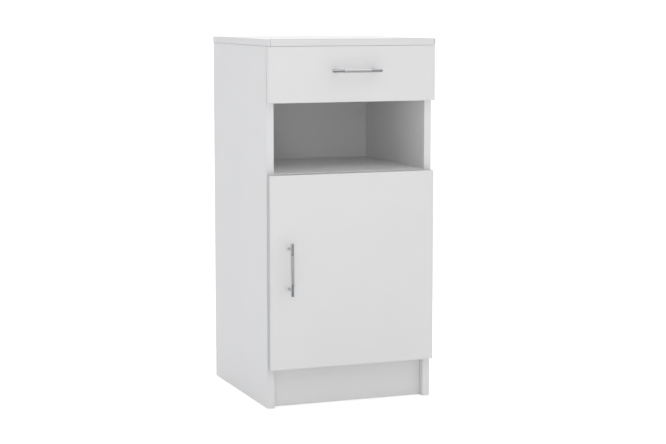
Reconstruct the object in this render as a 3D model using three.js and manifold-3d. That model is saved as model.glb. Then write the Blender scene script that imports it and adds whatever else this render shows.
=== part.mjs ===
// Bedside cabinet: a melamine-board carcass with one drawer on roller runners, an open bay
// below it and a hinged door over a cupboard with an adjustable shelf.
// Millimetres, +Z up, the fronts face -Y. Pieces are laid out in the carcass frame, whose
// origin is on the floor, midway between the side panels, in the plane of their front edges.
import * as THREE from 'three';
import { mergeVertices } from 'three/addons/utils/BufferGeometryUtils.js';
import Module from 'manifold-3d';

const wasm = await Module();
wasm.setup();

// ---- Driving dimensions ----
const WIDTH = 420;              // over the side panels
const DEPTH = 414;              // front edge to rear edge of a side panel
const HEIGHT = 875;             // floor to the top surface
const BOARD = 18;               // carcass, door and drawer front
const GAP = 0.3;                // assembly clearance between touching pieces
const BORE_PLAY = 0.35;         // clearance of a bore around its screw
const PAST = 1;                 // how far a cutting shape runs past the face that it opens

const TOP = { thick: 16, sideLip: 1, frontLip: 22.5 };
const BACK = { thick: 8, front: 375, rebate: 8 };
const PLINTH = { recess: 18, clearance: 1, top: 96.7, rear: 383 };
const BASE_BOTTOM = 97;
const BAY_FLOOR = 561;          // upper face of the bay shelf
const DIVIDER_BOTTOM = 729;

const STANDOFF = 3.5;           // closed fronts stand this far ahead of the carcass
const DRAWER_FRONT = { bottom: 727, topGap: 0.5 };
const DOOR = { bottom: 96.6, top: 558.5, rightReveal: 2 };

const BOX = { board: 12, runnerRoom: 12.5, bottom: 757, top: 845, rear: 346 };
const BOX_PANEL = { thick: 3, lift: 7, groove: 6 };

const SHELF = { pinHeight: 321, front: 25, rear: 370, sideRoom: 1 };
const PIN_HOLES = { radius: 2.5, depth: 10, pitch: 32, rows: 5, fromFront: [50, 330] };
const PIN = { radius: 2.2, reach: 7.5, bite: 9, collar: 3.6, collarThick: 1.2 };

const RUNNER = { sheet: 1.2, front: 2, rear: 352, lip: 8.2, ledge: 12, headroom: 1 };
const ROLLER = { radius: 8, width: 5.4, height: 765, bore: 2.4, front: 12, rear: 335 };
const AXLE = { radius: 2, shoulder: 3.5, head: 0.8 };

const HANDLE = {
  length: 126, centres: 96, barRadius: 3.8, chamfer: 0.6, reach: 26,
  sleeve: 68, sleeveRadius: 4.6, postRadius: 3.3,
};
const SCREW = {
  radius: 2, bite: 12, headRadius: 3.8, headThick: 2.2, headChamfer: 0.9,
  recessHalf: 2.2, recessSlot: 0.5, recessDepth: 1.2,
};
const DRAWER_HANDLE_HEIGHT = 801;
const DOOR_HANDLE = { x: -163, z: 338 };

const HINGE = {
  cupFromEdge: 22.5, cupRadius: 17.3, cupWall: 1.2, cupDepth: 12.5, cupFloor: 1,
  flangeThick: 1, flangeWidth: 24, flangeHeight: 64, flangeCorner: 10, flangeShift: 2,
  fromDoorEnd: 90,
};
// Plan-view points of the hinge, right-hand side, door closed.
const ARM_PIVOT = { x: 181.5, y: -9.6 };
const LINK_KNEE = { x: 194.5, y: -12.5 };
const LINK_END = { x: 197.75, y: -8.8 };
const ARM = {
  halfWidth: 8.4, forkHalf: 5.1, forkPlay: 2.4, noseRadius: 3.4, pinRadius: 1.2, boreRadius: 1.6,
  necked: 6, widened: 14, rear: 62, tailCut: [1.5, 10],
};
const LINK = { halfWidth: 4.8, thick: 1.8, eyeRadius: 2.4, tipRadius: 1.6 };
const PLATE = {
  thick: 2.5, bossThick: 3.2, front: 22, rear: 56, halfHeight: 9, wing: 24, wingHalfWidth: 8,
};

const BUMPER = { radius: 4, rim: 1.6, taper: 1.2, inset: 15 };

const FACETS = { curve: 8, hole: 10, pin: 12, small: 16, post: 20, bar: 24, cup: 32 };

// ---- Derived planes ----
const HALF = WIDTH / 2;
const INSIDE = HALF - BOARD;                    // inner face of a side panel
const TOP_UNDERSIDE = HEIGHT - TOP.thick;
const FRONT_BACK_FACE = -STANDOFF;              // rear face of door and drawer front
const FRONT_FACE = FRONT_BACK_FACE - BOARD;
const BOX_HALF = INSIDE - BOX.runnerRoom;       // outer face of a drawer side
const DOOR_EDGE = HALF - DOOR.rightReveal;
const HANDLE_TIP = FRONT_FACE - HANDLE.reach - HANDLE.sleeveRadius;
const MIDDLE_Y = (HANDLE_TIP + DEPTH) / 2;

// ---- Finishes ----
const finish = (color, roughness, metalness = 0) =>
  new THREE.MeshStandardMaterial({ color, roughness, metalness });
const boardFinish = () => finish(0xebecee, 0.55);
const boxFinish = () => finish(0xe4e4e2, 0.6);
const chromeFinish = () => finish(0x9a9ca0, 0.22, 1);
const satinFinish = () => finish(0xc2c3c4, 0.42, 1);
const zincFinish = () => finish(0xb4b6b8, 0.38, 1);
const coatedFinish = () => finish(0xe8e8e6, 0.45, 0.1);
const nylonFinish = () => finish(0xf1f0ea, 0.5);
const rubberFinish = () => finish(0xd9dadb, 0.3);

// ---- Geometry helpers ----
function box(x, y, z) {
  const spans = [x, y, z].map((span) => [Math.min(...span), Math.max(...span)]);
  const geometry = new THREE.BoxGeometry(...spans.map(([low, high]) => high - low));
  return geometry.translate(...spans.map(([low, high]) => (low + high) / 2));
}

// A body turned about the Y axis from [radius, y] pairs, then moved.
function turned(profile, sides, at = [0, 0, 0]) {
  const points = profile.map(([radius, y]) => new THREE.Vector2(radius, y));
  return new THREE.LatheGeometry(points, sides).translate(...at);
}

function rodAlongY(radius, from, to, sides, at) {
  return turned([[0, from], [radius, from], [radius, to], [0, to]], sides, at);
}

function turnedAlongX(profile, sides, at = [0, 0, 0]) {
  return turned(profile, sides).rotateZ(-Math.PI / 2).translate(...at);
}

function rodAlongZ(radius, from, to, sides, at) {
  return rodAlongY(radius, from, to, sides).rotateX(Math.PI / 2).translate(...at);
}

// An outline in plan view, raised from one height to another.
function raised(shape, from, to) {
  const options = { depth: to - from, bevelEnabled: false, curveSegments: FACETS.curve };
  return new THREE.ExtrudeGeometry(shape, options).translate(0, 0, from);
}

// An outline seen from the front, [x, z], drawn out along Y.
function drawnOut(shape, front, rear) {
  const options = { depth: rear - front, bevelEnabled: false, curveSegments: FACETS.curve };
  return new THREE.ExtrudeGeometry(shape, options).rotateX(Math.PI / 2).translate(0, rear, 0);
}

function outline(points) {
  return new THREE.Shape(points.map(([u, v]) => new THREE.Vector2(u, v)));
}

function roundedRectangle(width, height, corner, centreX, centreZ) {
  const shape = new THREE.Shape();
  const corners = [[1, 1], [-1, 1], [-1, -1], [1, -1]];
  corners.forEach(([side, end], index) => {
    const x = centreX + side * (width / 2 - corner);
    const z = centreZ + end * (height / 2 - corner);
    const start = index * Math.PI / 2;
    shape.absarc(x, z, corner, start, start + Math.PI / 2, false);
  });
  return shape;
}

function solid(geometry) {
  const bare = geometry.clone();
  bare.deleteAttribute('normal');
  bare.deleteAttribute('uv');
  const merged = mergeVertices(bare);
  const corners = merged.index.array;
  const triangles = [];
  for (let i = 0; i < corners.length; i += 3) {
    const [a, b, c] = corners.slice(i, i + 3);
    if (a !== b && b !== c && c !== a) triangles.push(a, b, c);
  }
  return new wasm.Manifold(new wasm.Mesh({
    numProp: 3,
    vertProperties: new Float32Array(merged.attributes.position.array),
    triVerts: new Uint32Array(triangles),
  }));
}

function shell(body) {
  const { vertProperties, triVerts } = body.getMesh();
  const geometry = new THREE.BufferGeometry();
  geometry.setAttribute('position', new THREE.BufferAttribute(vertProperties, 3));
  geometry.setIndex(new THREE.BufferAttribute(triVerts, 1));
  geometry.computeVertexNormals();
  return geometry;
}

const cut = (geometry, tools) =>
  shell(tools.reduce((body, tool) => body.subtract(solid(tool)), solid(geometry)));

const join = (geometry, additions) =>
  shell(additions.reduce((body, piece) => body.add(solid(piece)), solid(geometry)));

function piece(name, geometry, material) {
  const mesh = new THREE.Mesh(geometry, material);
  mesh.name = name;
  return mesh;
}

const SIDES = [['left', -1], ['right', 1]];

// ---- Carcass ----
function pinHole(side, y, z) {
  const { radius, depth } = PIN_HOLES;
  const hole = turnedAlongX([[0, -PAST], [radius, -PAST], [radius, depth], [0, depth]],
    FACETS.hole);
  if (side < 0) hole.rotateZ(Math.PI);
  return hole.translate(side * INSIDE, y, z);
}

function sidePanel(name, side) {
  const panel = box([side * INSIDE, side * HALF], [0, DEPTH], [0, TOP_UNDERSIDE - GAP]);
  const rebateX = [side * (INSIDE - PAST), side * (INSIDE + BACK.rebate)];
  const rebateY = [BACK.front - GAP, BACK.front + BACK.thick + GAP];
  const tools = [box(rebateX, rebateY, [BASE_BOTTOM, HEIGHT])];
  const lowest = SHELF.pinHeight - PIN_HOLES.pitch * (PIN_HOLES.rows - 1) / 2;
  for (const y of PIN_HOLES.fromFront) {
    for (let row = 0; row < PIN_HOLES.rows; row += 1) {
      tools.push(pinHole(side, y, lowest + row * PIN_HOLES.pitch));
    }
  }
  return piece(name, cut(panel, tools), boardFinish());
}

function topPanel() {
  const lip = HALF + TOP.sideLip;
  return piece('top_panel', box([-lip, lip], [-TOP.frontLip, DEPTH], [TOP_UNDERSIDE, HEIGHT]),
    boardFinish());
}

// A board that spans the carcass between the side panels, up to the back panel.
function innerBoard(name, bottom, thick = BOARD) {
  const half = INSIDE - GAP;
  return piece(name, box([-half, half], [0, BACK.front - GAP], [bottom, bottom + thick]),
    boardFinish());
}

function backPanel() {
  const half = INSIDE + BACK.rebate - GAP;
  const depth = [BACK.front, BACK.front + BACK.thick];
  return piece('back_panel', box([-half, half], depth, [BASE_BOTTOM + GAP, TOP_UNDERSIDE - GAP]),
    boardFinish());
}

function plinthBoard(name, front) {
  const half = INSIDE - GAP;
  return piece(name, box([-half, half], [front, front + BOARD],
    [PLINTH.clearance, PLINTH.top]), boardFinish());
}

function adjustableShelf() {
  const half = INSIDE - SHELF.sideRoom;
  const bottom = SHELF.pinHeight + PIN.radius + GAP;
  return piece('inner_shelf', box([-half, half], [SHELF.front, SHELF.rear],
    [bottom, bottom + BOARD]), boardFinish());
}

function shelfPin(name, side, y) {
  const profile = [[0, -PIN.reach], [PIN.radius, -PIN.reach],
    [PIN.radius, -PIN.collarThick - GAP], [PIN.collar, -PIN.collarThick - GAP],
    [PIN.collar, -GAP], [PIN.radius, -GAP], [PIN.radius, PIN.bite], [0, PIN.bite]];
  const geometry = turnedAlongX(profile, FACETS.pin);
  if (side < 0) geometry.rotateZ(Math.PI);
  // The collar would foul the shelf's underside above the pin, so its top is flattened.
  const room = [-PIN.collar - PAST, PIN.collar + PAST];
  const flat = box(room, room, [PIN.radius, PIN.collar + PAST]);
  const mesh = piece(name, cut(geometry, [flat]), zincFinish());
  mesh.position.set(side * INSIDE, y, SHELF.pinHeight);
  return mesh;
}

function carcass() {
  const group = new THREE.Group();
  for (const [word, side] of SIDES) {
    group.add(sidePanel(`side_panel_${word}`, side));
    PIN_HOLES.fromFront.forEach((y, index) => {
      const end = index === 0 ? 'front' : 'rear';
      group.add(shelfPin(`shelf_pin_${end}_${word}`, side, y));
    });
  }
  group.add(topPanel(), backPanel(), adjustableShelf());
  group.add(plinthBoard('plinth_board_front', PLINTH.recess));
  group.add(plinthBoard('plinth_board_rear', PLINTH.rear - BOARD));
  group.add(innerBoard('base_panel', BASE_BOTTOM));
  group.add(innerBoard('bay_shelf', BAY_FLOOR - BOARD));
  group.add(innerBoard('drawer_divider', DIVIDER_BOTTOM));
  return group;
}

// ---- Roller runners ----
const WEB_CABINET = INSIDE - GAP - RUNNER.sheet;     // inner face of the cabinet member's web
const WEB_DRAWER = BOX_HALF + GAP + RUNNER.sheet;    // outer face of the drawer member's web
const ROLLER_MIDDLE = (WEB_CABINET + WEB_DRAWER) / 2;
const CHANNEL_TOP = ROLLER.radius + GAP + RUNNER.sheet + RUNNER.headroom;

// The wheel's stub: a shoulder against the web, the journal, and a riveted head.
function axle(side, fromWeb, towards, y) {
  const halfRoom = Math.abs(fromWeb - ROLLER_MIDDLE);
  const halfWheel = ROLLER.width / 2 + GAP;
  const journalEnd = halfRoom + halfWheel;
  const profile = [[0, -RUNNER.sheet / 2], [AXLE.shoulder, -RUNNER.sheet / 2],
    [AXLE.shoulder, halfRoom - halfWheel], [AXLE.radius, halfRoom - halfWheel],
    [AXLE.radius, journalEnd], [AXLE.shoulder, journalEnd],
    [AXLE.shoulder, journalEnd + AXLE.head], [0, journalEnd + AXLE.head]];
  const geometry = turnedAlongX(profile, FACETS.small);
  if (side * towards < 0) geometry.rotateZ(Math.PI);
  return geometry.translate(side * fromWeb, y, ROLLER.height);
}

// C-shaped member on the side panel, open towards the drawer.
function cabinetRunner(name, side) {
  const wall = INSIDE - GAP;
  const lip = wall - RUNNER.lip;
  const low = ROLLER.height - ROLLER.radius - GAP - RUNNER.sheet;
  const high = ROLLER.height + CHANNEL_TOP + RUNNER.sheet;
  const profile = [[wall, low], [wall, high], [lip, high], [lip, high - RUNNER.sheet],
    [WEB_CABINET, high - RUNNER.sheet], [WEB_CABINET, low + RUNNER.sheet],
    [lip, low + RUNNER.sheet], [lip, low]];
  const shape = outline(profile.map(([x, z]) => [side * x, z]));
  const channel = drawnOut(shape, RUNNER.front, RUNNER.rear);
  return piece(name, join(channel, [axle(side, WEB_CABINET, -1, ROLLER.front)]), coatedFinish());
}

// Z-shaped member on the drawer: a ledge under the side and a track over the rollers.
function drawerRunner(name, side) {
  const wall = BOX_HALF + GAP;
  const ledge = wall - RUNNER.ledge;
  const track = WEB_DRAWER + RUNNER.lip - RUNNER.sheet;
  const low = BOX.bottom - GAP - RUNNER.sheet;
  const high = ROLLER.height + ROLLER.radius + GAP + RUNNER.sheet;
  const profile = [[ledge, low], [WEB_DRAWER, low], [WEB_DRAWER, high - RUNNER.sheet],
    [track, high - RUNNER.sheet], [track, high], [wall, high],
    [wall, low + RUNNER.sheet], [ledge, low + RUNNER.sheet]];
  const shape = outline(profile.map(([x, z]) => [side * x, z]));
  const rail = drawnOut(shape, FRONT_BACK_FACE + GAP, BOX.rear);
  return piece(name, join(rail, [axle(side, WEB_DRAWER, 1, ROLLER.rear)]), coatedFinish());
}

function roller(name, side, y) {
  const half = ROLLER.width / 2;
  const profile = [[ROLLER.bore, -half], [ROLLER.radius, -half], [ROLLER.radius, half],
    [ROLLER.bore, half], [ROLLER.bore, -half]];
  const mesh = piece(name, turnedAlongX(profile, FACETS.bar), nylonFinish());
  mesh.position.set(side * ROLLER_MIDDLE, y, ROLLER.height);
  return mesh;
}

function runners() {
  const group = new THREE.Group();
  for (const [word, side] of SIDES) {
    group.add(cabinetRunner(`cabinet_runner_${word}`, side));
    group.add(drawerRunner(`drawer_runner_${word}`, side));
    group.add(roller(`front_roller_${word}`, side, ROLLER.front));
    group.add(roller(`rear_roller_${word}`, side, ROLLER.rear));
  }
  return group;
}

// ---- Bar handles ----
// Built about the front face it is fixed to: the bar runs along X and stands off towards -Y.
// `grip` is the thickness of board that the screws pass through.
function handle(prefix, grip) {
  const group = new THREE.Group();
  const half = HANDLE.length / 2;
  const endRadius = HANDLE.barRadius - HANDLE.chamfer;
  const barProfile = [[0, -half], [endRadius, -half],
    [HANDLE.barRadius, -half + HANDLE.chamfer], [HANDLE.barRadius, half - HANDLE.chamfer],
    [endRadius, half], [0, half]];
  const bar = piece(`${prefix}_bar`, turnedAlongX(barProfile, FACETS.bar), chromeFinish());
  bar.position.y = -HANDLE.reach;

  const sleeveHalf = HANDLE.sleeve / 2;
  const inner = HANDLE.barRadius + GAP;
  const sleeveProfile = [[inner, -sleeveHalf], [HANDLE.sleeveRadius, -sleeveHalf],
    [HANDLE.sleeveRadius, sleeveHalf], [inner, sleeveHalf], [inner, -sleeveHalf]];
  const sleeve = piece(`${prefix}_sleeve`, turnedAlongX(sleeveProfile, FACETS.bar),
    satinFinish());
  sleeve.position.y = -HANDLE.reach;
  group.add(bar, sleeve);

  for (const [word, side] of [['a', -1], ['b', 1]]) {
    const at = [side * HANDLE.centres / 2, 0, 0];
    group.add(handlePost(`${prefix}_post_${word}`, at));
    group.add(handleScrew(`${prefix}_screw_${word}`, at, grip));
  }
  return group;
}

// A post saddled to the bar, with a blind bore for its screw.
function handlePost(name, at) {
  const bore = SCREW.radius + BORE_PLAY;
  const boreEnd = -SCREW.bite - PAST;
  const profile = [[0, -HANDLE.reach], [HANDLE.postRadius, -HANDLE.reach],
    [HANDLE.postRadius, -GAP], [bore, -GAP], [bore, boreEnd], [0, boreEnd]];
  const half = HANDLE.postRadius + PAST;
  const saddleRadius = HANDLE.barRadius + GAP;
  const saddle = turnedAlongX([[0, -half], [saddleRadius, -half], [saddleRadius, half], [0, half]],
    FACETS.bar, [0, -HANDLE.reach, 0]);
  const mesh = piece(name, cut(turned(profile, FACETS.post), [saddle]), chromeFinish());
  mesh.position.set(...at);
  return mesh;
}

// A machine screw from behind the board, with a cross recess in its head.
function handleScrew(name, at, grip) {
  const under = grip + GAP;
  const over = under + SCREW.headThick;
  const profile = [[0, -SCREW.bite], [SCREW.radius, -SCREW.bite],
    [SCREW.radius, under], [SCREW.headRadius, under],
    [SCREW.headRadius, over - SCREW.headChamfer],
    [SCREW.headRadius - SCREW.headChamfer, over], [0, over]];
  const depth = [over - SCREW.recessDepth, over + PAST];
  const long = [-SCREW.recessHalf, SCREW.recessHalf];
  const narrow = [-SCREW.recessSlot, SCREW.recessSlot];
  const recess = [box(long, depth, narrow), box(narrow, depth, long)];
  const mesh = piece(name, cut(turned(profile, FACETS.small), recess), zincFinish());
  mesh.position.set(...at);
  return mesh;
}

function screwHole(x, z) {
  return rodAlongY(SCREW.radius + BORE_PLAY, FRONT_FACE - PAST, BOX.board + PAST, FACETS.small,
    [x, 0, z]);
}

// ---- Drawer ----
function drawerFront() {
  const tools = [-1, 1].map((end) => screwHole(end * HANDLE.centres / 2, DRAWER_HANDLE_HEIGHT));
  const panel = box([-HALF, HALF], [FRONT_FACE, FRONT_BACK_FACE],
    [DRAWER_FRONT.bottom, TOP_UNDERSIDE - DRAWER_FRONT.topGap]);
  return piece('drawer_front', cut(panel, tools), boardFinish());
}

// The slot in the sides and inner front that holds the drawer's bottom panel.
function bottomGroove() {
  const half = BOX_HALF - BOX.board + BOX_PANEL.groove;
  const low = BOX.bottom + BOX_PANEL.lift;
  const front = FRONT_BACK_FACE + GAP + BOX.board - BOX_PANEL.groove;
  return box([-half, half], [front, BOX.rear + PAST],
    [low - GAP, low + BOX_PANEL.thick + GAP]);
}

function drawerBox() {
  const group = new THREE.Group();
  const front = FRONT_BACK_FACE + GAP;
  const inner = BOX_HALF - BOX.board;
  const height = [BOX.bottom, BOX.top];
  for (const [word, side] of SIDES) {
    const board = box([side * inner, side * BOX_HALF], [front, BOX.rear], height);
    group.add(piece(`drawer_side_${word}`, cut(board, [bottomGroove()]), boxFinish()));
  }
  const between = [-inner + GAP, inner - GAP];
  const innerFront = box(between, [front, front + BOX.board], height);
  const holes = [-1, 1].map((end) => screwHole(end * HANDLE.centres / 2, DRAWER_HANDLE_HEIGHT));
  group.add(piece('drawer_inner_front', cut(innerFront, [bottomGroove(), ...holes]),
    boxFinish()));

  const panelTop = BOX.bottom + BOX_PANEL.lift + BOX_PANEL.thick;
  group.add(piece('drawer_back', box(between, [BOX.rear - BOX.board, BOX.rear],
    [panelTop + GAP, BOX.top]), boxFinish()));

  const half = inner + BOX_PANEL.groove - GAP;
  const panelFront = front + BOX.board - BOX_PANEL.groove + GAP;
  group.add(piece('drawer_bottom', box([-half, half], [panelFront, BOX.rear],
    [panelTop - BOX_PANEL.thick, panelTop]), boxFinish()));
  return group;
}

function bumper(name, x, z) {
  const rear = FRONT_BACK_FACE + GAP;
  const profile = [[0, rear], [BUMPER.radius, rear], [BUMPER.radius, rear + BUMPER.rim],
    [BUMPER.radius - BUMPER.taper, -GAP], [0, -GAP]];
  return piece(name, turned(profile, FACETS.small, [x, 0, z]), rubberFinish());
}

function drawer() {
  const group = new THREE.Group();
  group.add(drawerFront(), drawerBox());
  const grip = -FRONT_FACE + FRONT_BACK_FACE + GAP + BOX.board;
  const bar = handle('drawer_handle', grip);
  bar.position.set(0, FRONT_FACE, DRAWER_HANDLE_HEIGHT);
  group.add(bar);
  for (const [word, side] of SIDES) {
    const x = side * (HALF - BOARD / 2);
    group.add(bumper(`drawer_bumper_${word}`, x, DRAWER_FRONT.bottom + BUMPER.inset));
  }
  return group;
}

// ---- Door and its concealed hinges ----
const CUP_X = DOOR_EDGE - HINGE.cupFromEdge;
const HINGE_HEIGHTS = [
  ['lower', DOOR.bottom + HINGE.fromDoorEnd],
  ['upper', DOOR.top - HINGE.fromDoorEnd],
];

function doorPanel() {
  const panel = box([-HALF, DOOR_EDGE], [FRONT_FACE, FRONT_BACK_FACE], [DOOR.bottom, DOOR.top]);
  const boreEnd = FRONT_BACK_FACE - HINGE.cupDepth - GAP;
  const bores = HINGE_HEIGHTS.map(([, z]) =>
    rodAlongY(HINGE.cupRadius + 2 * GAP, boreEnd, PAST, FACETS.cup, [CUP_X, 0, z]));
  const holes = [-1, 1].map((end) =>
    screwHole(DOOR_HANDLE.x, DOOR_HANDLE.z + end * HANDLE.centres / 2));
  return piece('door_panel', cut(panel, [...bores, ...holes]), boardFinish());
}

// Pressed cup with its screw flange, let into the rear face of the door.
function hingeCup(name, z) {
  const rim = FRONT_BACK_FACE + GAP + HINGE.flangeThick;
  const floor = FRONT_BACK_FACE - HINGE.cupDepth;
  const inner = HINGE.cupRadius - HINGE.cupWall;
  const at = [CUP_X, 0, z];
  const bowl = rodAlongY(HINGE.cupRadius, floor, rim, FACETS.cup, at);
  const hollow = rodAlongY(inner, floor + HINGE.cupFloor, rim + PAST, FACETS.cup, at);
  const plate = roundedRectangle(HINGE.flangeWidth, HINGE.flangeHeight, HINGE.flangeCorner,
    CUP_X - HINGE.flangeShift, z);
  const flange = drawnOut(plate, rim - HINGE.flangeThick, rim);
  return piece(name, shell(solid(bowl).add(solid(flange)).subtract(solid(hollow))), zincFinish());
}

// Sprung arm: clips over the mounting plate and ends in a fork inside the cup.
function hingeArm(name, z) {
  const inner = ARM_PIVOT.x - ARM.noseRadius;
  const neck = ARM_PIVOT.x + ARM.noseRadius;
  const outer = INSIDE - GAP - PLATE.thick - PLATE.bossThick - GAP;
  const [tailIn, tailLong] = ARM.tailCut;
  const body = outline([[inner, ARM_PIVOT.y], [neck, ARM_PIVOT.y], [neck, ARM.necked],
    [outer, ARM.widened], [outer, ARM.rear], [inner + tailIn, ARM.rear],
    [inner, ARM.rear - tailLong]]);
  const low = z - ARM.halfWidth;
  const high = z + ARM.halfWidth;
  const pivot = [ARM_PIVOT.x, ARM_PIVOT.y, 0];
  const nose = rodAlongZ(ARM.noseRadius, low, high, FACETS.post, pivot);
  const fork = box([inner - PAST, neck + PAST],
    [ARM_PIVOT.y - ARM.noseRadius - PAST, ARM_PIVOT.y + LINK.eyeRadius + ARM.forkPlay],
    [z - ARM.forkHalf, z + ARM.forkHalf]);
  const bore = rodAlongZ(ARM.boreRadius, low - PAST, high + PAST, FACETS.small, pivot);
  const arm = solid(raised(body, low, high)).add(solid(nose));
  return piece(name, shell(arm.subtract(solid(fork)).subtract(solid(bore))), zincFinish());
}

// Cranked link: its pin turns in the fork, and its free eye swings inside the cup.
function hingeLink(name, z) {
  const low = z - LINK.halfWidth;
  const high = z + LINK.halfWidth;
  const strap = strapBetween([ARM_PIVOT, LINK_KNEE, LINK_END], LINK.thick, low, high);
  const rod = (radius, point, from = low, to = high) =>
    rodAlongZ(radius, from, to, FACETS.small, [point.x, point.y, 0]);
  return piece(name, join(strap, [
    rod(LINK.eyeRadius, ARM_PIVOT),
    rod(LINK.thick / 2, LINK_KNEE),
    rod(LINK.tipRadius, LINK_END),
    rod(ARM.pinRadius, ARM_PIVOT, z - ARM.halfWidth, z + ARM.halfWidth),
  ]), zincFinish());
}

// A strip of the given thickness that follows plan-view points.
function strapBetween(points, thick, low, high) {
  const strips = points.slice(1).map((end, index) => {
    const start = points[index];
    const length = Math.hypot(end.x - start.x, end.y - start.y);
    const strip = box([0, length], [-thick / 2, thick / 2], [low, high]);
    strip.rotateZ(Math.atan2(end.y - start.y, end.x - start.x));
    return strip.translate(start.x, start.y, 0);
  });
  return join(strips[0], strips.slice(1));
}

// Cross-shaped plate screwed to the side panel, with a raised spine that the arm clips to.
function mountingPlate(name, z) {
  const wall = INSIDE - GAP;
  const middle = (PLATE.front + PLATE.rear) / 2;
  const spine = box([wall - PLATE.thick - PLATE.bossThick, wall], [PLATE.front, PLATE.rear],
    [z - PLATE.halfHeight, z + PLATE.halfHeight]);
  const wings = box([wall - PLATE.thick, wall],
    [middle - PLATE.wingHalfWidth, middle + PLATE.wingHalfWidth],
    [z - PLATE.wing, z + PLATE.wing]);
  return piece(name, join(spine, [wings]), zincFinish());
}

function door() {
  const group = new THREE.Group();
  group.add(doorPanel());
  for (const [word, z] of HINGE_HEIGHTS) {
    group.add(hingeCup(`hinge_cup_${word}`, z));
    group.add(hingeArm(`hinge_arm_${word}`, z));
    group.add(hingeLink(`hinge_link_${word}`, z));
    group.add(mountingPlate(`hinge_plate_${word}`, z));
  }
  const bar = handle('door_handle', BOARD);
  bar.rotation.y = Math.PI / 2;
  bar.position.set(DOOR_HANDLE.x, FRONT_FACE, DOOR_HANDLE.z);
  group.add(bar);
  const bumperX = -(HALF - BOARD / 2);
  group.add(bumper('door_bumper_lower', bumperX, DOOR.bottom + BUMPER.inset));
  group.add(bumper('door_bumper_upper', bumperX, DOOR.top - BUMPER.inset));
  return group;
}

// ---- Assembly: origin on the floor at the middle of the whole object's footprint ----
const cabinet = new THREE.Group();
cabinet.add(carcass(), runners(), drawer(), door());
cabinet.position.y = -MIDDLE_Y;

const root = new THREE.Group();
root.add(cabinet);
export default root;
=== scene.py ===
"""Looks of the bedside cabinet: board and metal finishes, turned metalwork, screws, light and camera."""
import math

import bmesh
import bpy
from mathutils import Matrix, Vector


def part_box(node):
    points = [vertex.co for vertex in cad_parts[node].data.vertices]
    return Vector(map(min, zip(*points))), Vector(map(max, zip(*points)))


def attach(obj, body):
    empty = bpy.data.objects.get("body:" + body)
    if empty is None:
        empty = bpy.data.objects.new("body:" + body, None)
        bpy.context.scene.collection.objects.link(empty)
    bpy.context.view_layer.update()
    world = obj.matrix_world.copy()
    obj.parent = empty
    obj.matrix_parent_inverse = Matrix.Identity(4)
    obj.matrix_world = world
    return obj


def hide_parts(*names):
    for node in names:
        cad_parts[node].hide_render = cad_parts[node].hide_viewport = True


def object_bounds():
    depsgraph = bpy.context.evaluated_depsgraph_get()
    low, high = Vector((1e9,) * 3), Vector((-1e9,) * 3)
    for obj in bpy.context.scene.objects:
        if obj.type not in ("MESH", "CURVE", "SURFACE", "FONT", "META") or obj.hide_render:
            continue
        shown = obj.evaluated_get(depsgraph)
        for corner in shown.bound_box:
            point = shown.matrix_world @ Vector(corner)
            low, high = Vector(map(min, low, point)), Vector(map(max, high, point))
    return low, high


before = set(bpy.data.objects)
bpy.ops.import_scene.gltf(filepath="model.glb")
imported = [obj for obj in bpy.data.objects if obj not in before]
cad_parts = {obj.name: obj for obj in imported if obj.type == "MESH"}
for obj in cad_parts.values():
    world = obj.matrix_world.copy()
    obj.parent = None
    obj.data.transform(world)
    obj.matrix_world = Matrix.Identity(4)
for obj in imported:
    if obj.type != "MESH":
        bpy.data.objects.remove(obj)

cad_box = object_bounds()
MM = 0.001
AXES = "xyz"
SIDES = (("left", -1), ("right", 1))
LEVELS = ("lower", "upper")
HANDLES = (("drawer_handle", "drawer", 0), ("door_handle", "door", 2))

# Finishes, as linear colours
BOARD_WHITE = (0.808, 0.808, 0.811)
BOX_WHITE = (0.760, 0.757, 0.745)
GREY_BAND = 0.66                # the door's edge band against its face
CHROME = (0.52, 0.53, 0.54)
SATIN = (0.76, 0.76, 0.765)
NICKEL = (0.58, 0.58, 0.575)
POWDER = (0.80, 0.80, 0.785)
NYLON = (0.82, 0.81, 0.77)
BUMPER = (0.78, 0.79, 0.80)

# Board edges
ARRIS = 0.5 * MM                # rounding of a banded edge
TIGHT_ARRIS = 0.25 * MM         # where the drawer front meets the top board
BOX_ARRIS = 0.4 * MM
BAND = 1.0 * MM                 # thickness of the edge band
SEAM = 0.12 * MM                # half width of the hairline where the band meets the face
LINE = {"half_width": 0.55 * MM, "level": 0.5}      # dark lines on the top board's edge bands, one of them painted shadow under its side edges
CORNER_LINE = 4.0 * MM          # from the top board's corners
SHEET_ARRIS = 0.25 * MM         # of the pressed steel
WELD = 0.002 * MM               # points of a CAD node nearer than this are one
FLAT_ANGLE = 0.5                # degrees between faces that count as one flat
SHARP_ANGLE = 50                # degrees at an edge that is rounded
# level of the hairline and depth of the pearl, and of the box boards' edge band
WHITE_LOOK = {"seam": 0.72, "pearl": 0.02 * MM}
BOX_LOOK = {"band": 0.93, "seam": 0.75, "pearl": 0.03 * MM}
FINE = 96                       # sides of a turned piece in plain view
SMALL = 48                      # sides of a small or hidden one


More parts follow.
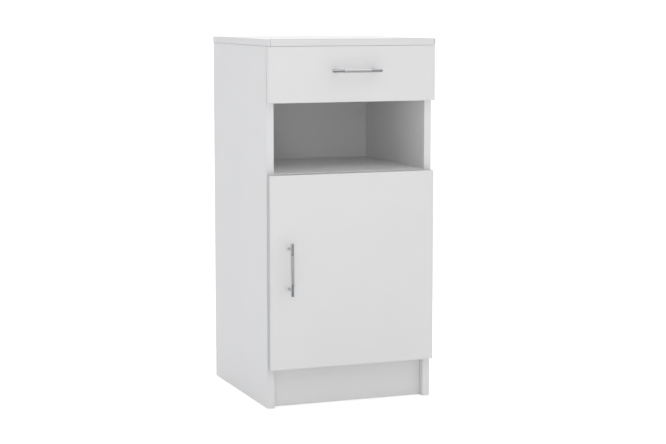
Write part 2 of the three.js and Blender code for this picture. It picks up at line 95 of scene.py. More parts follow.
# ---- Node graphs ----
class Graph:
    """A new material and short calls that add nodes to it. Values are sockets or constants."""

    def __init__(self, name):
        self.material = bpy.data.materials.new(name)
        self.material.use_nodes = True
        self.tree = self.material.node_tree
        self.shader = self.tree.nodes["Principled BSDF"]
        self.coordinates = self.tree.nodes.new("ShaderNodeTexCoord")

    def feed(self, socket, value):
        if isinstance(value, bpy.types.NodeSocket):
            self.tree.links.new(value, socket)
        elif value is not None:
            socket.default_value = value

    def add(self, kind, *values, **settings):
        node = self.tree.nodes.new("ShaderNode" + kind)
        for key, value in settings.items():
            setattr(node, key, value)
        for socket, value in zip(node.inputs, values):
            self.feed(socket, value)
        return node

    def set(self, **values):
        for key, value in values.items():
            self.feed(self.shader.inputs[key.replace("_", " ")], value)

    def math(self, operation, *values, clamp=False):
        return self.add("Math", *values, operation=operation, use_clamp=clamp).outputs[0]

    def stretched(self, stretch):
        """Object coordinates, multiplied axis by axis."""
        return self.add("VectorMath", self.coordinates.outputs["Object"], stretch,
                        operation="MULTIPLY").outputs[0]

    def noise(self, scale, detail=2.0, stretch=(1, 1, 1)):
        node = self.add("TexNoise")
        self.feed(node.inputs["Vector"], self.stretched(stretch))
        node.inputs["Scale"].default_value = scale
        node.inputs["Detail"].default_value = detail
        return node.outputs["Fac"]

    def between(self, factor, low, high):
        """A number that goes from low to high as the factor goes from 0 to 1."""
        node = self.add("MapRange", factor)
        node.inputs["To Min"].default_value = low
        node.inputs["To Max"].default_value = high
        return node.outputs[0]

    def shade(self, colour, level):
        """The colour, multiplied by a level that varies over the surface."""
        node = self.add("Mix", data_type="RGBA", blend_type="MULTIPLY")
        node.inputs["Factor"].default_value = 1
        self.feed(node.inputs["A"], (*colour, 1))
        self.feed(node.inputs["B"], level)
        return node.outputs["Result"]

    def bump(self, height, depth):
        node = self.add("Bump")
        node.inputs["Distance"].default_value = depth
        self.feed(node.inputs["Height"], height)
        return node.outputs["Normal"]


# ---- Finishes ----
def joint_and_shadow_lines(graph, place, normal, lines):
    """Level of dark lines, real joints and painted shadow among them, each given as the axis its faces
    look along, an axis and a coordinate.
    """
    level = 1
    for facing, axis, at in lines:
        on_face = graph.math("GREATER_THAN", graph.math("ABSOLUTE", normal[facing]), 0.5)
        off = graph.math("ABSOLUTE", graph.math("SUBTRACT", place[axis], at))
        near = graph.math("LESS_THAN", off, LINE["half_width"])
        dark = graph.between(graph.math("MULTIPLY", near, on_face), 1, LINE["level"])
        level = graph.math("MULTIPLY", level, dark)
    return level


def board_finish(name, node, colour, band_level, seam_level, pearl, lines=()):
    """Melamine-faced board: pearled faces, smoother edge bands, and the hairline where they meet."""
    graph = Graph(name)
    low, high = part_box(node)
    centre, half = (low + high) / 2, (high - low) / 2
    thin = min(range(3), key=lambda axis: half[axis])

    place = graph.add("SeparateXYZ", graph.coordinates.outputs["Object"]).outputs
    normal = graph.add("SeparateXYZ", graph.coordinates.outputs["Normal"]).outputs
    facing = graph.math("ABSOLUTE", normal[thin])
    on_band = graph.math("LESS_THAN", facing, 0.5)

    inset = []
    for axis in range(3):
        if axis != thin:
            off = graph.math("ABSOLUTE", graph.math("SUBTRACT", place[axis], centre[axis]))
            inset.append(graph.math("SUBTRACT", half[axis], off))
    nearest = graph.math("MINIMUM", *inset)
    off_seam = graph.math("ABSOLUTE", graph.math("SUBTRACT", nearest, BAND))
    seam = graph.math("MULTIPLY", graph.math("LESS_THAN", off_seam, SEAM),
                      graph.math("GREATER_THAN", facing, 0.9))

    mottle = graph.between(graph.noise(9, 3), 0.985, 1.015)
    band = graph.between(on_band, 1, band_level)
    hairline = graph.between(seam, 1, seam_level)
    level = graph.math("MULTIPLY", graph.math("MULTIPLY", mottle, band), hairline)
    level = graph.math("MULTIPLY", level, joint_and_shadow_lines(graph, place, normal, lines))
    graph.set(Base_Color=graph.shade(colour, level))

    scuff = graph.noise(35, 4)
    graph.set(Roughness=graph.between(scuff, 0.40, 0.52))
    grain = graph.noise(1300, 2)
    smooth_band = graph.math("SUBTRACT", 1, graph.math("MULTIPLY", on_band, 0.7))
    graph.set(Normal=graph.bump(graph.math("MULTIPLY", grain, smooth_band), pearl))
    graph.set(Specular_IOR_Level=0.4)
    return graph.material


def chrome_finish():
    graph = Graph("polished_chrome")
    film = graph.noise(160, 4)
    graph.set(Base_Color=graph.shade(CHROME, graph.between(film, 0.94, 1.05)), Metallic=1.0)
    graph.set(Roughness=graph.between(graph.noise(420, 3), 0.10, 0.19))
    graph.set(Normal=graph.bump(graph.noise(2200, 2), 0.004 * MM))
    return graph.material


def satin_finish(name, axis):
    """Metal brushed round a bar: fine rings across its axis."""
    graph = Graph(name)
    stretch = [14, 14, 14]
    stretch[axis] = 5200
    rings = graph.noise(1, 3, stretch)
    graph.set(Base_Color=graph.shade(SATIN, graph.between(rings, 0.90, 1.08)), Metallic=1.0)
    graph.set(Roughness=graph.between(rings, 0.34, 0.48), Anisotropic=0.35)
    graph.set(Normal=graph.bump(rings, 0.006 * MM))
    return graph.material


def nickel_finish():
    graph = Graph("plated_steel")
    cloud = graph.noise(240, 4)
    rolled = graph.noise(1, 3, (900, 60, 900))
    graph.set(Base_Color=graph.shade(NICKEL, graph.between(cloud, 0.90, 1.07)), Metallic=1.0)
    graph.set(Roughness=graph.between(rolled, 0.24, 0.40))
    graph.set(Normal=graph.bump(rolled, 0.008 * MM))
    return graph.material


def powder_finish():
    graph = Graph("coated_steel")
    peel = graph.noise(1500, 2)
    graph.set(Base_Color=graph.shade(POWDER, graph.between(graph.noise(60, 3), 0.97, 1.02)))
    graph.set(Roughness=graph.between(peel, 0.34, 0.5), Normal=graph.bump(peel, 0.03 * MM))
    return graph.material


def nylon_finish():
    graph = Graph("nylon")
    flow = graph.noise(500, 3)
    graph.set(Base_Color=graph.shade(NYLON, graph.between(flow, 0.96, 1.03)))
    graph.set(Roughness=graph.between(flow, 0.38, 0.52), Normal=graph.bump(flow, 0.01 * MM))
    graph.set(Subsurface_Weight=0.25, Subsurface_Scale=0.002)
    return graph.material


def bumper_finish():
    graph = Graph("clear_rubber")
    cloud = graph.noise(700, 2)
    graph.set(Base_Color=graph.shade(BUMPER, graph.between(cloud, 0.97, 1.02)))
    graph.set(Roughness=graph.between(cloud, 0.12, 0.26), Normal=graph.bump(cloud, 0.01 * MM))
    graph.set(Transmission_Weight=0.55, IOR=1.45)
    return graph.material


def floor_finish(name, glow):
    graph = Graph(name)
    graph.set(Base_Color=graph.shade((0.9, 0.9, 0.9), graph.between(graph.noise(3, 2), 0.99, 1.0)))
    graph.set(Roughness=0.7, Emission_Color=(1, 1, 1, 1), Emission_Strength=glow)
    return graph.material


# ---- Carried-over CAD nodes ----
def smooth_shading_group():
    """Geometry nodes that shade a mesh smooth, for use between a weld and a bevel."""
    group = bpy.data.node_groups.new("smooth_shading", "GeometryNodeTree")
    group.interface.new_socket("Geometry", in_out="INPUT", socket_type="NodeSocketGeometry")
    group.interface.new_socket("Geometry", in_out="OUTPUT", socket_type="NodeSocketGeometry")
    geometry = group.nodes.new("NodeGroupInput").outputs[0]
    for attribute in ("custom_normal", "sharp_edge"):
        drop = group.nodes.new("GeometryNodeRemoveAttribute")
        drop.inputs["Name"].default_value = attribute
        group.links.new(geometry, drop.inputs["Geometry"])
        geometry = drop.outputs["Geometry"]
    smooth = group.nodes.new("GeometryNodeSetShadeSmooth")
    group.links.new(geometry, smooth.inputs["Geometry"])
    end = group.nodes.new("NodeGroupOutput")
    group.links.new(smooth.outputs["Geometry"], end.inputs[0])
    return group


def soften(node, arris, smooth_shading):
    """Rounds a CAD node's sharp edges, with its own mesh left as it is."""
    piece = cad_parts[node]
    weld = piece.modifiers.new("weld", "WELD")
    weld.merge_threshold = WELD
    flats = piece.modifiers.new("flats", "DECIMATE")
    flats.decimate_type = "DISSOLVE"
    flats.angle_limit = math.radians(FLAT_ANGLE)
    piece.modifiers.new("smooth", "NODES").node_group = smooth_shading
    edge = piece.modifiers.new("arris", "BEVEL")
    edge.width = arris
    edge.segments = 3
    edge.limit_method = "ANGLE"
    edge.angle_limit = math.radians(SHARP_ANGLE)
    edge.harden_normals = True


def finish_node(node, material):
    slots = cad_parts[node].data.materials
    slots.clear()
    slots.append(material)


# ---- New pieces ----
def rounded(profile, radius, steps=4):
    """The same outline with each inner corner rounded off."""
    points = [Vector(point) for point in profile]
    result = [points[0]]
    for before, corner, after in zip(points, points[1:], points[2:]):
        reach = min(radius, 0.45 * (before - corner).length, 0.45 * (after - corner).length)
        start = corner + (before - corner).normalized() * reach
        end = corner + (after - corner).normalized() * reach
        for step in range(steps + 1):
            t = step / steps
            result.append(start * (1 - t) ** 2 + corner * 2 * t * (1 - t) + end * t ** 2)
    return result + [points[-1]]


def along(axis, centre):
    """A placement whose local +Z points along a frame axis (0 to 2)."""
    direction = Vector([float(index == axis) for index in range(3)])
    turn = Vector((0, 0, 1)).rotation_difference(direction)
    return Matrix.Translation(centre) @ turn.to_matrix().to_4x4()


def lathe_mesh(name, profile, sides, closed=False):
    """A mesh turned about Z from [radius, height] points; a closed profile makes a ring."""
    shape = bmesh.new()
    rings = []
    for radius, height in profile:
        if radius < 1e-7:
            rings.append([shape.verts.new((0, 0, height))] * sides)
            continue
        angles = [2 * math.pi * side / sides for side in range(sides)]
        rings.append([shape.verts.new((radius * math.cos(angle), radius * math.sin(angle), height))
                      for angle in angles])
    pairs = list(zip(rings, rings[1:]))
    if closed:
        pairs.append((rings[-1], rings[0]))
    for one, other in pairs:
        for side in range(sides):
            following = (side + 1) % sides
            corners = (one[side], one[following], other[following], other[side])
            shape.faces.new(dict.fromkeys(corners))
    bmesh.ops.recalc_face_normals(shape, faces=shape.faces)
    mesh = bpy.data.meshes.new(name)
    shape.to_mesh(mesh)
    shape.free()
    return mesh


def smooth_by_angle(mesh, degrees=32):
    mesh.polygons.foreach_set("use_smooth", [True] * len(mesh.polygons))
    mesh.set_sharp_from_angle(angle=math.radians(degrees))


def place_piece(name, mesh, placement, material, body, slot, *stands_for):
    """Links a mesh as a named piece that rides on a body."""
    mesh.materials.clear()
    mesh.materials.append(material)
    mesh.transform(placement)
    piece = bpy.data.objects.new(name, mesh)
    bpy.context.scene.collection.objects.link(piece)
    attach(piece, body)
    if stands_for:
        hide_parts(*stands_for)
    return piece


def turned_piece(name, profile, placement, material, body, slot, *stands_for,
                 sides=SMALL, closed=False):
    mesh = lathe_mesh(name, profile, sides, closed)
    smooth_by_angle(mesh)
    return place_piece(name, mesh, placement, material, body, slot, *stands_for)


def carved(name, shape, cutters=(), additions=()):
    """A mesh with others added to it and then cut from it."""
    holder = bpy.data.objects.new(name, shape)
    bpy.context.scene.collection.objects.link(holder)
    tools = []
    for operation, meshes in (("UNION", additions), ("DIFFERENCE", cutters)):
        for mesh in meshes:
            tool = bpy.data.objects.new("tool", mesh)
            bpy.context.scene.collection.objects.link(tool)
            step = holder.modifiers.new("step", "BOOLEAN")
            step.operation = operation
            step.solver = "EXACT"
            step.object = tool
            tools.append(tool)
    graph = bpy.context.evaluated_depsgraph_get()
    result = bpy.data.meshes.new_from_object(holder.evaluated_get(graph), depsgraph=graph)
    for item in (holder, *tools):
        bpy.data.objects.remove(item)
    result.name = name
    return result


def block_mesh(name, size, centre=(0, 0, 0)):
    shape = bmesh.new()
    bmesh.ops.create_cube(shape, size=1)
    bmesh.ops.scale(shape, vec=size, verts=shape.verts)
    bmesh.ops.translate(shape, vec=centre, verts=shape.verts)
    mesh = bpy.data.meshes.new(name)
    shape.to_mesh(mesh)
    shape.free()
    return mesh


def bevelled(mesh, width, segments=2, degrees=40):
    """Rounds the mesh's edges that are sharper than an angle."""
    shape = bmesh.new()
    shape.from_mesh(mesh)
    bmesh.ops.remove_doubles(shape, verts=shape.verts, dist=0.001 * MM)
    bmesh.ops.dissolve_limit(shape, angle_limit=math.radians(1), verts=shape.verts,
                             edges=shape.edges)
    sharp = [edge for edge in shape.edges if edge.calc_face_angle(0) > math.radians(degrees)]
    bmesh.ops.bevel(shape, geom=sharp, offset=width, segments=segments, profile=0.5,
                    affect="EDGES", clamp_overlap=True)
    shape.to_mesh(mesh)
    shape.free()
    smooth_by_angle(mesh)
    return mesh


# rounded rim and straight side of a head, and its cross recess as shares of the head
SCREW_HEAD = {"rim": 0.3 * MM, "side": 0.2 * MM, "reach": 0.58, "width": 0.22, "depth": 0.6}


def screw_mesh(name, head, thick, crown, shank=0.0, shank_radius=0.0):
    """A screw whose head starts at height 0, with a cross recess in its crowned top."""
    steps = 10
    dome = []
    for step in range(steps + 1):
        share = step / steps
        dome.append(((head - SCREW_HEAD["rim"]) * (1 - share),
                     thick + crown * math.sin(share * math.pi / 2)))
    profile = [(0, 0), (head, 0), (head, thick - SCREW_HEAD["side"]), *dome]
    if shank:
        profile = [(0, -shank), (shank_radius, -shank), (shank_radius, 0), *profile[1:]]
    body = lathe_mesh(name, profile, SMALL)
    reach, width = SCREW_HEAD["reach"] * head, SCREW_HEAD["width"] * head
    depth = SCREW_HEAD["depth"] * thick + crown
    lift = (0, 0, thick + crown)
    slots = [block_mesh("slot", (2 * reach, width, 2 * depth), lift),
             block_mesh("slot", (width, 2 * reach, 2 * depth), lift)]
    result = carved(name, body, slots)
    smooth_by_angle(result)
    return result


# ---- Boards ----
WHITE_BOARDS = {
    "side_panel_left": 1, "side_panel_right": 1, "top_panel": 0.97, "back_panel": 0.97,
    "base_panel": 1, "bay_shelf": 1, "drawer_divider": 1, "inner_shelf": 1,
    "plinth_board_front": 1, "plinth_board_rear": 1, "drawer_front": 1, "door_panel": GREY_BAND,
}
BOX_BOARDS = ("drawer_side_left", "drawer_side_right", "drawer_inner_front", "drawer_back",
              "drawer_bottom")


def top_board_lines():
    """The band's ends near the corners, its upper border, and painted shadow along the joint under the
    side edges.
    """
    low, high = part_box("top_panel")
    return [(1, 0, low.x + CORNER_LINE), (1, 0, high.x - CORNER_LINE),
            (1, 2, high.z), (0, 2, low.z)]


def boards(smooth_shading):
    for node, band_level in WHITE_BOARDS.items():
        lines = top_board_lines() if node == "top_panel" else ()
        finish = board_finish("white_board_" + node, node, BOARD_WHITE, band_level,
                              WHITE_LOOK["seam"], WHITE_LOOK["pearl"], lines)
        finish_node(node, finish)
        tight = node in ("top_panel", "drawer_front")
        soften(node, TIGHT_ARRIS if tight else ARRIS, smooth_shading)
    for node in BOX_BOARDS:
        finish = board_finish("box_board_" + node, node, BOX_WHITE, BOX_LOOK["band"],
                              BOX_LOOK["seam"], BOX_LOOK["pearl"])
        finish_node(node, finish)
        soften(node, BOX_ARRIS, smooth_shading)


# ---- Bar handles ----
BAR = {"chamfer": 0.6 * MM, "round": 0.5 * MM}
SLEEVE = {"play": 0.05 * MM, "round": 0.35 * MM}
POST = {"round": 0.4 * MM, "into_bar": 0.3 * MM, "same": 0.001 * MM}
HANDLE_SCREW = {"head": 2.2 * MM, "crown": 0.7 * MM, "shank": 2 * MM}


def handle(prefix, body, axis, chrome, satin):
    """Bar, sleeve and posts of one handle, over the CAD nodes they stand for."""
    bar_low, bar_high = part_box(prefix + "_bar")
    centre = (bar_low + bar_high) / 2
    half = (bar_high[axis] - bar_low[axis]) / 2
    radius = (bar_high.y - bar_low.y) / 2
    chamfer = BAR["chamfer"]
    profile = [(0, -half), (radius - chamfer, -half), (radius, -half + chamfer),
               (radius, half - chamfer), (radius - chamfer, half), (0, half)]
    turned_piece(prefix + "_bar_turned", rounded(profile, BAR["round"]), along(axis, centre), chrome,
                 body, "polished_chrome", prefix + "_bar", sides=FINE)

    low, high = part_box(prefix + "_sleeve")
    reach = (high[axis] - low[axis]) / 2
    outer = (high.y - low.y) / 2
    inner = radius + SLEEVE["play"]
    section = rounded([(inner, 0), (inner, -reach), (outer, -reach), (outer, reach),
                       (inner, reach), (inner, 0)], SLEEVE["round"])
    turned_piece(prefix + "_sleeve_turned", section[:-1], along(axis, centre), satin,
                 body, "satin_metal", prefix + "_sleeve", sides=FINE, closed=True)
    for letter in "ab":
        handle_post(prefix + "_post_" + letter, body, axis, centre, radius, chrome)


def handle_post(node, body, axis, bar_centre, bar_radius, chrome):
    """A post from the board's face to the bar, its end shaped to the bar."""
    low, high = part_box(node)
    radius = (high[axis] - low[axis]) / 2
    foot = Vector(((low.x + high.x) / 2, high.y, (low.z + high.z) / 2))
    reach = foot.y - bar_centre.y
    profile = rounded([(0, 0), (radius, 0), (radius, reach - bar_radius)], POST["round"])
    profile += [(radius, reach), (0, reach)]
    mesh = lathe_mesh(node + "_turned", profile, FINE)
    placement = Matrix.Translation(foot) @ Matrix.Rotation(math.pi / 2, 4, "X")
    across = 2 - axis
    for vertex in mesh.vertices:
        if vertex.co.z > reach - bar_radius - POST["same"]:
            sideways = (placement.to_3x3() @ vertex.co)[across]
            surface = math.sqrt(max(bar_radius ** 2 - sideways ** 2, 0))
            overlap = POST["into_bar"] if vertex.co.z > reach - POST["same"] else 0
            vertex.co.z = reach - surface + overlap
    smooth_by_angle(mesh)
    place_piece(node + "_turned", mesh, placement, chrome, body, "polished_chrome", node)


def handle_screws(nickel):
    for prefix, body, _ in HANDLES:
        for letter in "ab":
            node = f"{prefix}_screw_{letter}"
            low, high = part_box(node)
            head = (high.x - low.x) / 2
            thick, crown = HANDLE_SCREW["head"], HANDLE_SCREW["crown"]
            seat = Vector(((low.x + high.x) / 2, high.y - thick, (low.z + high.z) / 2))
            mesh = screw_mesh(node + "_turned", head, thick - crown, crown, seat.y - low.y,
                              HANDLE_SCREW["shank"])
            placement = Matrix.Translation(seat) @ Matrix.Rotation(-math.pi / 2, 4, "X")
            place_piece(node + "_turned", mesh, placement, nickel, body, "plated_steel", node)


# ---- Roller runners ----
ROLLER = {"bore": 2.4 * MM, "web_inset": 0.7 * MM, "hub": 1.5 * MM, "rim": 1.4 * MM,
          "slope": 2 * MM, "round": 0.5 * MM, "sides": 64}
RUNNER_SHEET = 1.2 * MM
RUNNER_SCREW = {"head": 3.2 * MM, "thick": 0.5 * MM, "crown": 0.3 * MM,
                "along": (0.12, 0.5, 0.94)}


def rollers(nylon):
    for end in ("front", "rear"):
        for word, _ in SIDES:
            node = f"{end}_roller_{word}"
            low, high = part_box(node)
            half, radius = (high.x - low.x) / 2, (high.z - low.z) / 2
            bore, web = ROLLER["bore"], half - ROLLER["web_inset"]
            hub, rim = bore + ROLLER["hub"], radius - ROLLER["rim"]
            web_in, web_out = bore + ROLLER["slope"], radius - ROLLER["slope"]
            section = [(bore, 0), (bore, -half), (hub, -half), (web_in, -web),
                       (web_out, -web), (rim, -half), (radius, -half),
                       (radius, half), (rim, half), (web_out, web),
                       (web_in, web), (hub, half), (bore, half), (bore, 0)]
            turned_piece(node + "_turned", rounded(section, ROLLER["round"], 3)[:-1],
                         along(0, (low + high) / 2), nylon, node, "nylon", node,
                         sides=ROLLER["sides"], closed=True)


def runner_screws(nickel):
    """Three flat-headed screws hold each cabinet member to its side panel."""
    for word, side in SIDES:
        low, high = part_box("cabinet_runner_" + word)
        web = (high.x if side > 0 else low.x) - side * RUNNER_SHEET
        for index, share in enumerate(RUNNER_SCREW["along"]):
            at = Vector((web, low.y + share * (high.y - low.y), (low.z + high.z) / 2))
            name = f"runner_screw_{word}_{index + 1}"
            mesh = screw_mesh(name, RUNNER_SCREW["head"], RUNNER_SCREW["thick"], RUNNER_SCREW["crown"])
            placement = Matrix.Translation(at) @ Matrix.Rotation(-side * math.pi / 2, 4, "Y")
            place_piece(name, mesh, placement, nickel, "carcass", "plated_steel")


# ---- Shelf pins and bumpers ----
PIN = {"radius": 2.2 * MM, "collar_from": 6 * MM, "collar_to": 7.2 * MM, "round": 0.35 * MM}
BUMPER_SIDE = 0.25              # share of a bumper's height below its dome


def shelf_pins(nickel):
    for end in ("front", "rear"):
        for word, side in SIDES:
            node = f"shelf_pin_{end}_{word}"
            low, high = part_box(node)
            pin, collar = PIN["radius"], (high.y - low.y) / 2
            start, end_of_collar = PIN["collar_from"], PIN["collar_to"]
            at = Vector((low.x if side > 0 else high.x, (low.y + high.y) / 2, high.z - pin))
            length = high.x - low.x
            profile = [(0, 0), (pin, 0), (pin, start), (collar, start), (collar, end_of_collar),
                       (pin, end_of_collar), (pin, length), (0, length)]
            mesh = lathe_mesh(node + "_turned", rounded(profile, PIN["round"]), SMALL)
            placement = Matrix.Translation(at) @ Matrix.Rotation(side * math.pi / 2, 4, "Y")
            mesh.transform(placement)
            for vertex in mesh.vertices:
                vertex.co.z = min(vertex.co.z, high.z)
            smooth_by_angle(mesh)
            place_piece(node + "_turned", mesh, Matrix.Identity(4), nickel, "carcass",
                        "plated_steel", node)


def bumpers(clear):
    nodes = [("drawer", "drawer_bumper_" + word) for word, _ in SIDES]
    nodes += [("door", "door_bumper_" + level) for level in LEVELS]
    for body, node in nodes:
        low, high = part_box(node)
        radius, height = (high.x - low.x) / 2, high.y - low.y
        steps = 12
        dome = [(radius * math.cos(step / steps * math.pi / 2),
                 height * (BUMPER_SIDE + (1 - BUMPER_SIDE) * math.sin(step / steps * math.pi / 2)))
                for step in range(steps)]
        profile = [(0, 0), (radius, 0), *dome, (0, height)]
        at = Vector(((low.x + high.x) / 2, low.y, (low.z + high.z) / 2))
        placement = Matrix.Translation(at) @ Matrix.Rotation(-math.pi / 2, 4, "X")
        turned_piece(node + "_turned", profile, placement, clear, body, "clear_rubber", node)


# ---- Concealed hinges ----
CUP = {"radius": 17.3 * MM, "wall": 1.2 * MM, "floor": 1.0 * MM, "round": 1.0 * MM,
       "inner_round": 0.8 * MM, "edge": 0.22 * MM}
FLANGE = {"width": 24 * MM, "thick": 1.0 * MM, "corner": 10 * MM, "shift": 2 * MM}
CUP_SCREW = {"head": 3.6 * MM, "thick": 0.8 * MM, "crown": 0.5 * MM, "sunk": 0.3 * MM,
             "off_middle": 24 * MM}
PLATE_SHEET = 2.5 * MM
PLATE_SCREW = {"head": 3.8 * MM, "thick": 0.7 * MM, "crown": 0.5 * MM, "sunk": 0.2 * MM,
               "off_middle": 16 * MM}
ARM_SCREW = {"head": 3.1 * MM, "thick": 0.5 * MM, "crown": 0.4 * MM, "sunk": 0.2 * MM}
ARM_SCREWS_ALONG = {"side": 0.42, "depth": 0.8}     # shares of the arm's length


def screw_head(name, kind):
    return screw_mesh(name, kind["head"], kind["thick"], kind["crown"])


def rounded_plate(name, width, height, corner, low, high, steps=10):
    """A plate in the X-Z plane, from y low to y high, with round corners."""
    shape = bmesh.new()
    points = []
    for index, (side, end) in enumerate(((1, 1), (-1, 1), (-1, -1), (1, -1))):
        for step in range(steps + 1):
            angle = (index + step / steps) * math.pi / 2
            points.append((side * (width / 2 - corner) + corner * math.cos(angle),
                           end * (height / 2 - corner) + corner * math.sin(angle)))
    front = shape.faces.new([shape.verts.new((x, low, z)) for x, z in points])
    moved = bmesh.ops.extrude_face_region(shape, geom=[front])["geom"]
    corners = [item for item in moved if isinstance(item, bmesh.types.BMVert)]
    bmesh.ops.translate(shape, vec=(0, high - low, 0), verts=corners)
    bmesh.ops.recalc_face_normals(shape, faces=shape.faces)
    mesh = bpy.data.meshes.new(name)
    shape.to_mesh(mesh)
    shape.free()
    return mesh


def hinge_cup(level, nickel):
    """Pressed cup: a bowl let into the door, under a flange with two screws."""
    node = "hinge_cup_" + level
    low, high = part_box(node)
    radius, wall, bottom = CUP["radius"], CUP["wall"], CUP["floor"]
    centre = Vector((high.x - radius, 0, (low.z + high.z) / 2))
    shift = FLANGE["shift"]
    depth = high.y - low.y
    plate = rounded_plate(node, FLANGE["width"], high.z - low.z, FLANGE["corner"],
                          high.y - FLANGE["thick"], high.y)
    plate.transform(Matrix.Translation((centre.x - shift, 0, centre.z)))
    upright = Matrix.Translation((centre.x, low.y, centre.z)) @ Matrix.Rotation(-math.pi / 2, 4, "X")
    bowl = rounded([(0, 0), (radius, 0), (radius, depth), (0, depth)], CUP["round"])
    bowl = lathe_mesh("bowl", bowl, FINE)
    bowl.transform(upright)
    inner = radius - wall
    past = depth + FLANGE["thick"]
    hollow = rounded([(0, bottom), (inner, bottom), (inner, past), (0, past)], CUP["inner_round"])
    hollow = lathe_mesh("hollow", hollow, FINE)
    hollow.transform(upright)
    mesh = carved(node + "_pressed", plate, [hollow], [bowl])
    place_piece(node + "_pressed", bevelled(mesh, CUP["edge"]), Matrix.Identity(4), nickel, "door",
                "plated_steel", node)

    for end in (-1, 1):
        name = f"cup_screw_{level}_{'top' if end > 0 else 'bottom'}"
        at = Vector((centre.x - shift, high.y - CUP_SCREW["sunk"],
                     centre.z + end * CUP_SCREW["off_middle"]))
        placement = Matrix.Translation(at) @ Matrix.Rotation(-math.pi / 2, 4, "X")
        place_piece(name, screw_head(name, CUP_SCREW), placement, nickel, "door", "plated_steel")


def plate_screws(level, nickel):
    """Two screws hold the mounting plate, and two set the arm's reach and side play."""
    low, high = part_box("hinge_plate_" + level)
    middle = (low + high) / 2
    inner_face = high.x - PLATE_SHEET
    for end, word in ((-1, "bottom"), (1, "top")):
        name = f"plate_screw_{level}_{word}"
        at = Vector((inner_face + PLATE_SCREW["sunk"], middle.y,
                     middle.z + end * PLATE_SCREW["off_middle"]))
        placement = Matrix.Translation(at) @ Matrix.Rotation(-math.pi / 2, 4, "Y")
        place_piece(name, screw_head(name, PLATE_SCREW), placement, nickel, "carcass",
                    "plated_steel")
    arm_low, arm_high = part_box("hinge_arm_" + level)
    for word, share in ARM_SCREWS_ALONG.items():
        name = f"arm_screw_{level}_{word}"
        at = Vector((arm_low.x + ARM_SCREW["sunk"],
                     arm_low.y + share * (arm_high.y - arm_low.y), middle.z))
        placement = Matrix.Translation(at) @ Matrix.Rotation(-math.pi / 2, 4, "Y")
        place_piece(name, screw_head(name, ARM_SCREW), placement, nickel, "carcass", "plated_steel")


def hinges(nickel, smooth_shading):
    for level in LEVELS:
        hinge_cup(level, nickel)
        plate_screws(level, nickel)
        for part in ("arm", "link", "plate"):
            node = f"hinge_{part}_{level}"
            finish_node(node, nickel)
            soften(node, SHEET_ARRIS, smooth_shading)


def runners(powder, nickel, smooth_shading):
    for word, _ in SIDES:
        for member in ("cabinet", "drawer"):
            node = f"{member}_runner_{word}"
            finish_node(node, powder)
            soften(node, SHEET_ARRIS, smooth_shading)
    runner_screws(nickel)


# ---- Studio ----
FLOOR_GLOW = 0.115
WALL_GLOW = 1.0
PAPER_GLOW = 0.42               # of the sheet that the camera sees over the floor
PAPER_LIFT = 0.1 * MM
# half width of the floor, and radius and height of the wall, which a distant camera still sees
ROOM = {"floor": 60.0, "radius": 25.0, "height": 20.0}
# strength of the sky towards each side: axis, sign, strength
SKY = {"behind": (1, 1, 1.0), "right": (0, 1, 0.70), "above": (2, 1, 0.86)}
SKY_COLOUR = (0.98, 0.985, 1, 1)
# azimuth, elevation and distance from the cabinet's middle, size, power, colour
LAMPS = {
    "front_high": (0, 45, 3.4, 2.0, 5.4, (1, 1, 1)),
    "front_left": (-40, 38, 3.4, 2.0, 7.0, (1, 1, 1)),
    "beside_camera": (-22, 12, 4.6, 1.5, 21.5, (1, 0.97, 0.94)),
}
# a grey card on the floor in front, darker near the cabinet: distances from the middle, and glow
FLAG = {"half_width": 6.0, "near": 0.45, "even": 1.6, "far": 9.0, "lift": 1.0 * MM,
        "near_glow": 0.2, "glow": 0.48}
CAMERA = {"azimuth": -20.9, "elevation": 7.08, "distance": 4.392, "aim": (0.0256, 0, -0.0206),
          "lens": 95.3}


def direction(azimuth, elevation):
    """The unit vector from the cabinet towards a place: azimuth 0 is in front, 90 at the right."""
    a, e = math.radians(azimuth), math.radians(elevation)
    return Vector((math.sin(a) * math.cos(e), -math.cos(a) * math.cos(e), math.sin(e)))


def lamps(centre):
    for name, (azimuth, elevation, distance, size, power, colour) in LAMPS.items():
        light = bpy.data.lights.new(name, "AREA")
        light.size, light.energy, light.color = size, power, colour
        lamp = bpy.data.objects.new(name, light)
        back = direction(azimuth, elevation)
        lamp.location = centre + back * distance
        lamp.rotation_euler = (-back).to_track_quat("-Z", "Y").to_euler()
        bpy.context.scene.collection.objects.link(lamp)


def sky():
    """White all round, and brighter towards the sides that SKY names."""
    world = bpy.data.worlds.new("studio")
    world.use_nodes = True
    tree = world.node_tree
    background = tree.nodes["Background"]
    background.inputs["Color"].default_value = SKY_COLOUR
    place = tree.nodes.new("ShaderNodeTexCoord")
    parts = tree.nodes.new("ShaderNodeSeparateXYZ")
    tree.links.new(place.outputs["Generated"], parts.inputs[0])
    total = None
    for axis, sign, strength in SKY.values():
        towards = tree.nodes.new("ShaderNodeMath")
        towards.operation = "MULTIPLY"
        towards.inputs[1].default_value = sign * strength
        tree.links.new(parts.outputs[axis], towards.inputs[0])
        lit = tree.nodes.new("ShaderNodeMath")
        lit.operation = "MAXIMUM"
        lit.inputs[1].default_value = 0
        tree.links.new(towards.outputs[0], lit.inputs[0])
        if total is None:
            total = lit.outputs[0]
            continue
        joined = tree.nodes.new("ShaderNodeMath")
        joined.operation = "ADD"
        tree.links.new(total, joined.inputs[0])
        tree.links.new(lit.outputs[0], joined.inputs[1])
        total = joined.outputs[0]
    tree.links.new(total, background.inputs["Strength"])
    bpy.context.scene.world = world


def ground_sheet(name, low, high, level, material):
    """A flat rectangle of the studio, from one plan corner to the other."""
    mesh = bpy.data.meshes.new(name)
    corners = [(low[0], low[1], level), (high[0], low[1], level), (high[0], high[1], level),
               (low[0], high[1], level)]
    mesh.from_pydata(corners, [], [(0, 1, 2, 3)])
    mesh.materials.append(material)
    piece = bpy.data.objects.new(name, mesh)
    bpy.context.scene.collection.objects.link(piece)
    return piece


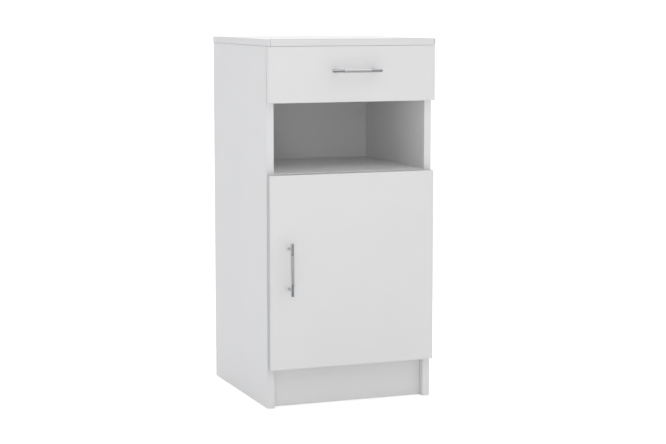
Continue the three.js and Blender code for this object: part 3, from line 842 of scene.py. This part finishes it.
def only_for(piece, kind):
    """Shows a piece of the studio to one kind of ray: camera or glossy."""
    for ray in ("camera", "diffuse", "glossy", "shadow", "transmission"):
        setattr(piece, "visible_" + ray, ray == kind)


def floor(level):
    """A pale floor, with brighter paper over it and a white wall round it for the camera alone."""
    half = ROOM["floor"]
    ground_sheet("studio_floor", (-half, -half), (half, half), level,
                 floor_finish("studio_floor", FLOOR_GLOW))
    paper = ground_sheet("studio_paper", (-half, -half), (half, half), level + PAPER_LIFT,
                         floor_finish("studio_paper", PAPER_GLOW))
    radius = ROOM["radius"]
    mesh = lathe_mesh("studio_wall", [(radius, level), (radius, level + ROOM["height"])], SMALL)
    mesh.materials.append(floor_finish("studio_wall", WALL_GLOW))
    wall = bpy.data.objects.new("studio_wall", mesh)
    bpy.context.scene.collection.objects.link(wall)
    only_for(paper, "camera")
    only_for(wall, "camera")


def flag_finish():
    """Darkest near the cabinet."""
    graph = Graph("grey_card")
    place = graph.add("SeparateXYZ", graph.coordinates.outputs["Object"]).outputs
    ramp = graph.add("MapRange", place[1], -FLAG["near"], -FLAG["even"], FLAG["near_glow"],
                     FLAG["glow"]).outputs[0]
    graph.set(Base_Color=(0, 0, 0, 1), Specular_IOR_Level=0.0, Roughness=1.0)
    graph.set(Emission_Color=(1, 1, 1, 1), Emission_Strength=ramp)
    return graph.material


def flag(level):
    """A studio flag: the polished metal reflects it, and nothing else meets it."""
    reach = FLAG["half_width"]
    card = ground_sheet("grey_card", (-reach, -FLAG["far"]), (reach, -FLAG["near"]),
                        level + FLAG["lift"], flag_finish())
    only_for(card, "glossy")


def camera(centre):
    data = bpy.data.cameras.new("camera")
    data.lens = CAMERA["lens"]
    piece = bpy.data.objects.new("camera", data)
    back = direction(CAMERA["azimuth"], CAMERA["elevation"])
    piece.location = centre + Vector(CAMERA["aim"]) + back * CAMERA["distance"]
    piece.rotation_euler = (-back).to_track_quat("-Z", "Y").to_euler()
    bpy.context.scene.collection.objects.link(piece)
    bpy.context.scene.camera = piece
    bpy.context.scene.view_settings.view_transform = "Standard"


# ---- Assembly ----
def build():
    smooth_shading = smooth_shading_group()
    chrome, nickel = chrome_finish(), nickel_finish()
    boards(smooth_shading)
    for prefix, body, axis in HANDLES:
        handle(prefix, body, axis, chrome, satin_finish("satin_" + AXES[axis], axis))
    handle_screws(nickel)
    rollers(nylon_finish())
    runners(powder_finish(), nickel, smooth_shading)
    shelf_pins(nickel)
    bumpers(bumper_finish())
    hinges(nickel, smooth_shading)


build()
middle = (cad_box[0] + cad_box[1]) / 2
sky()
lamps(middle)
floor(cad_box[0].z)
flag(cad_box[0].z)
camera(middle)
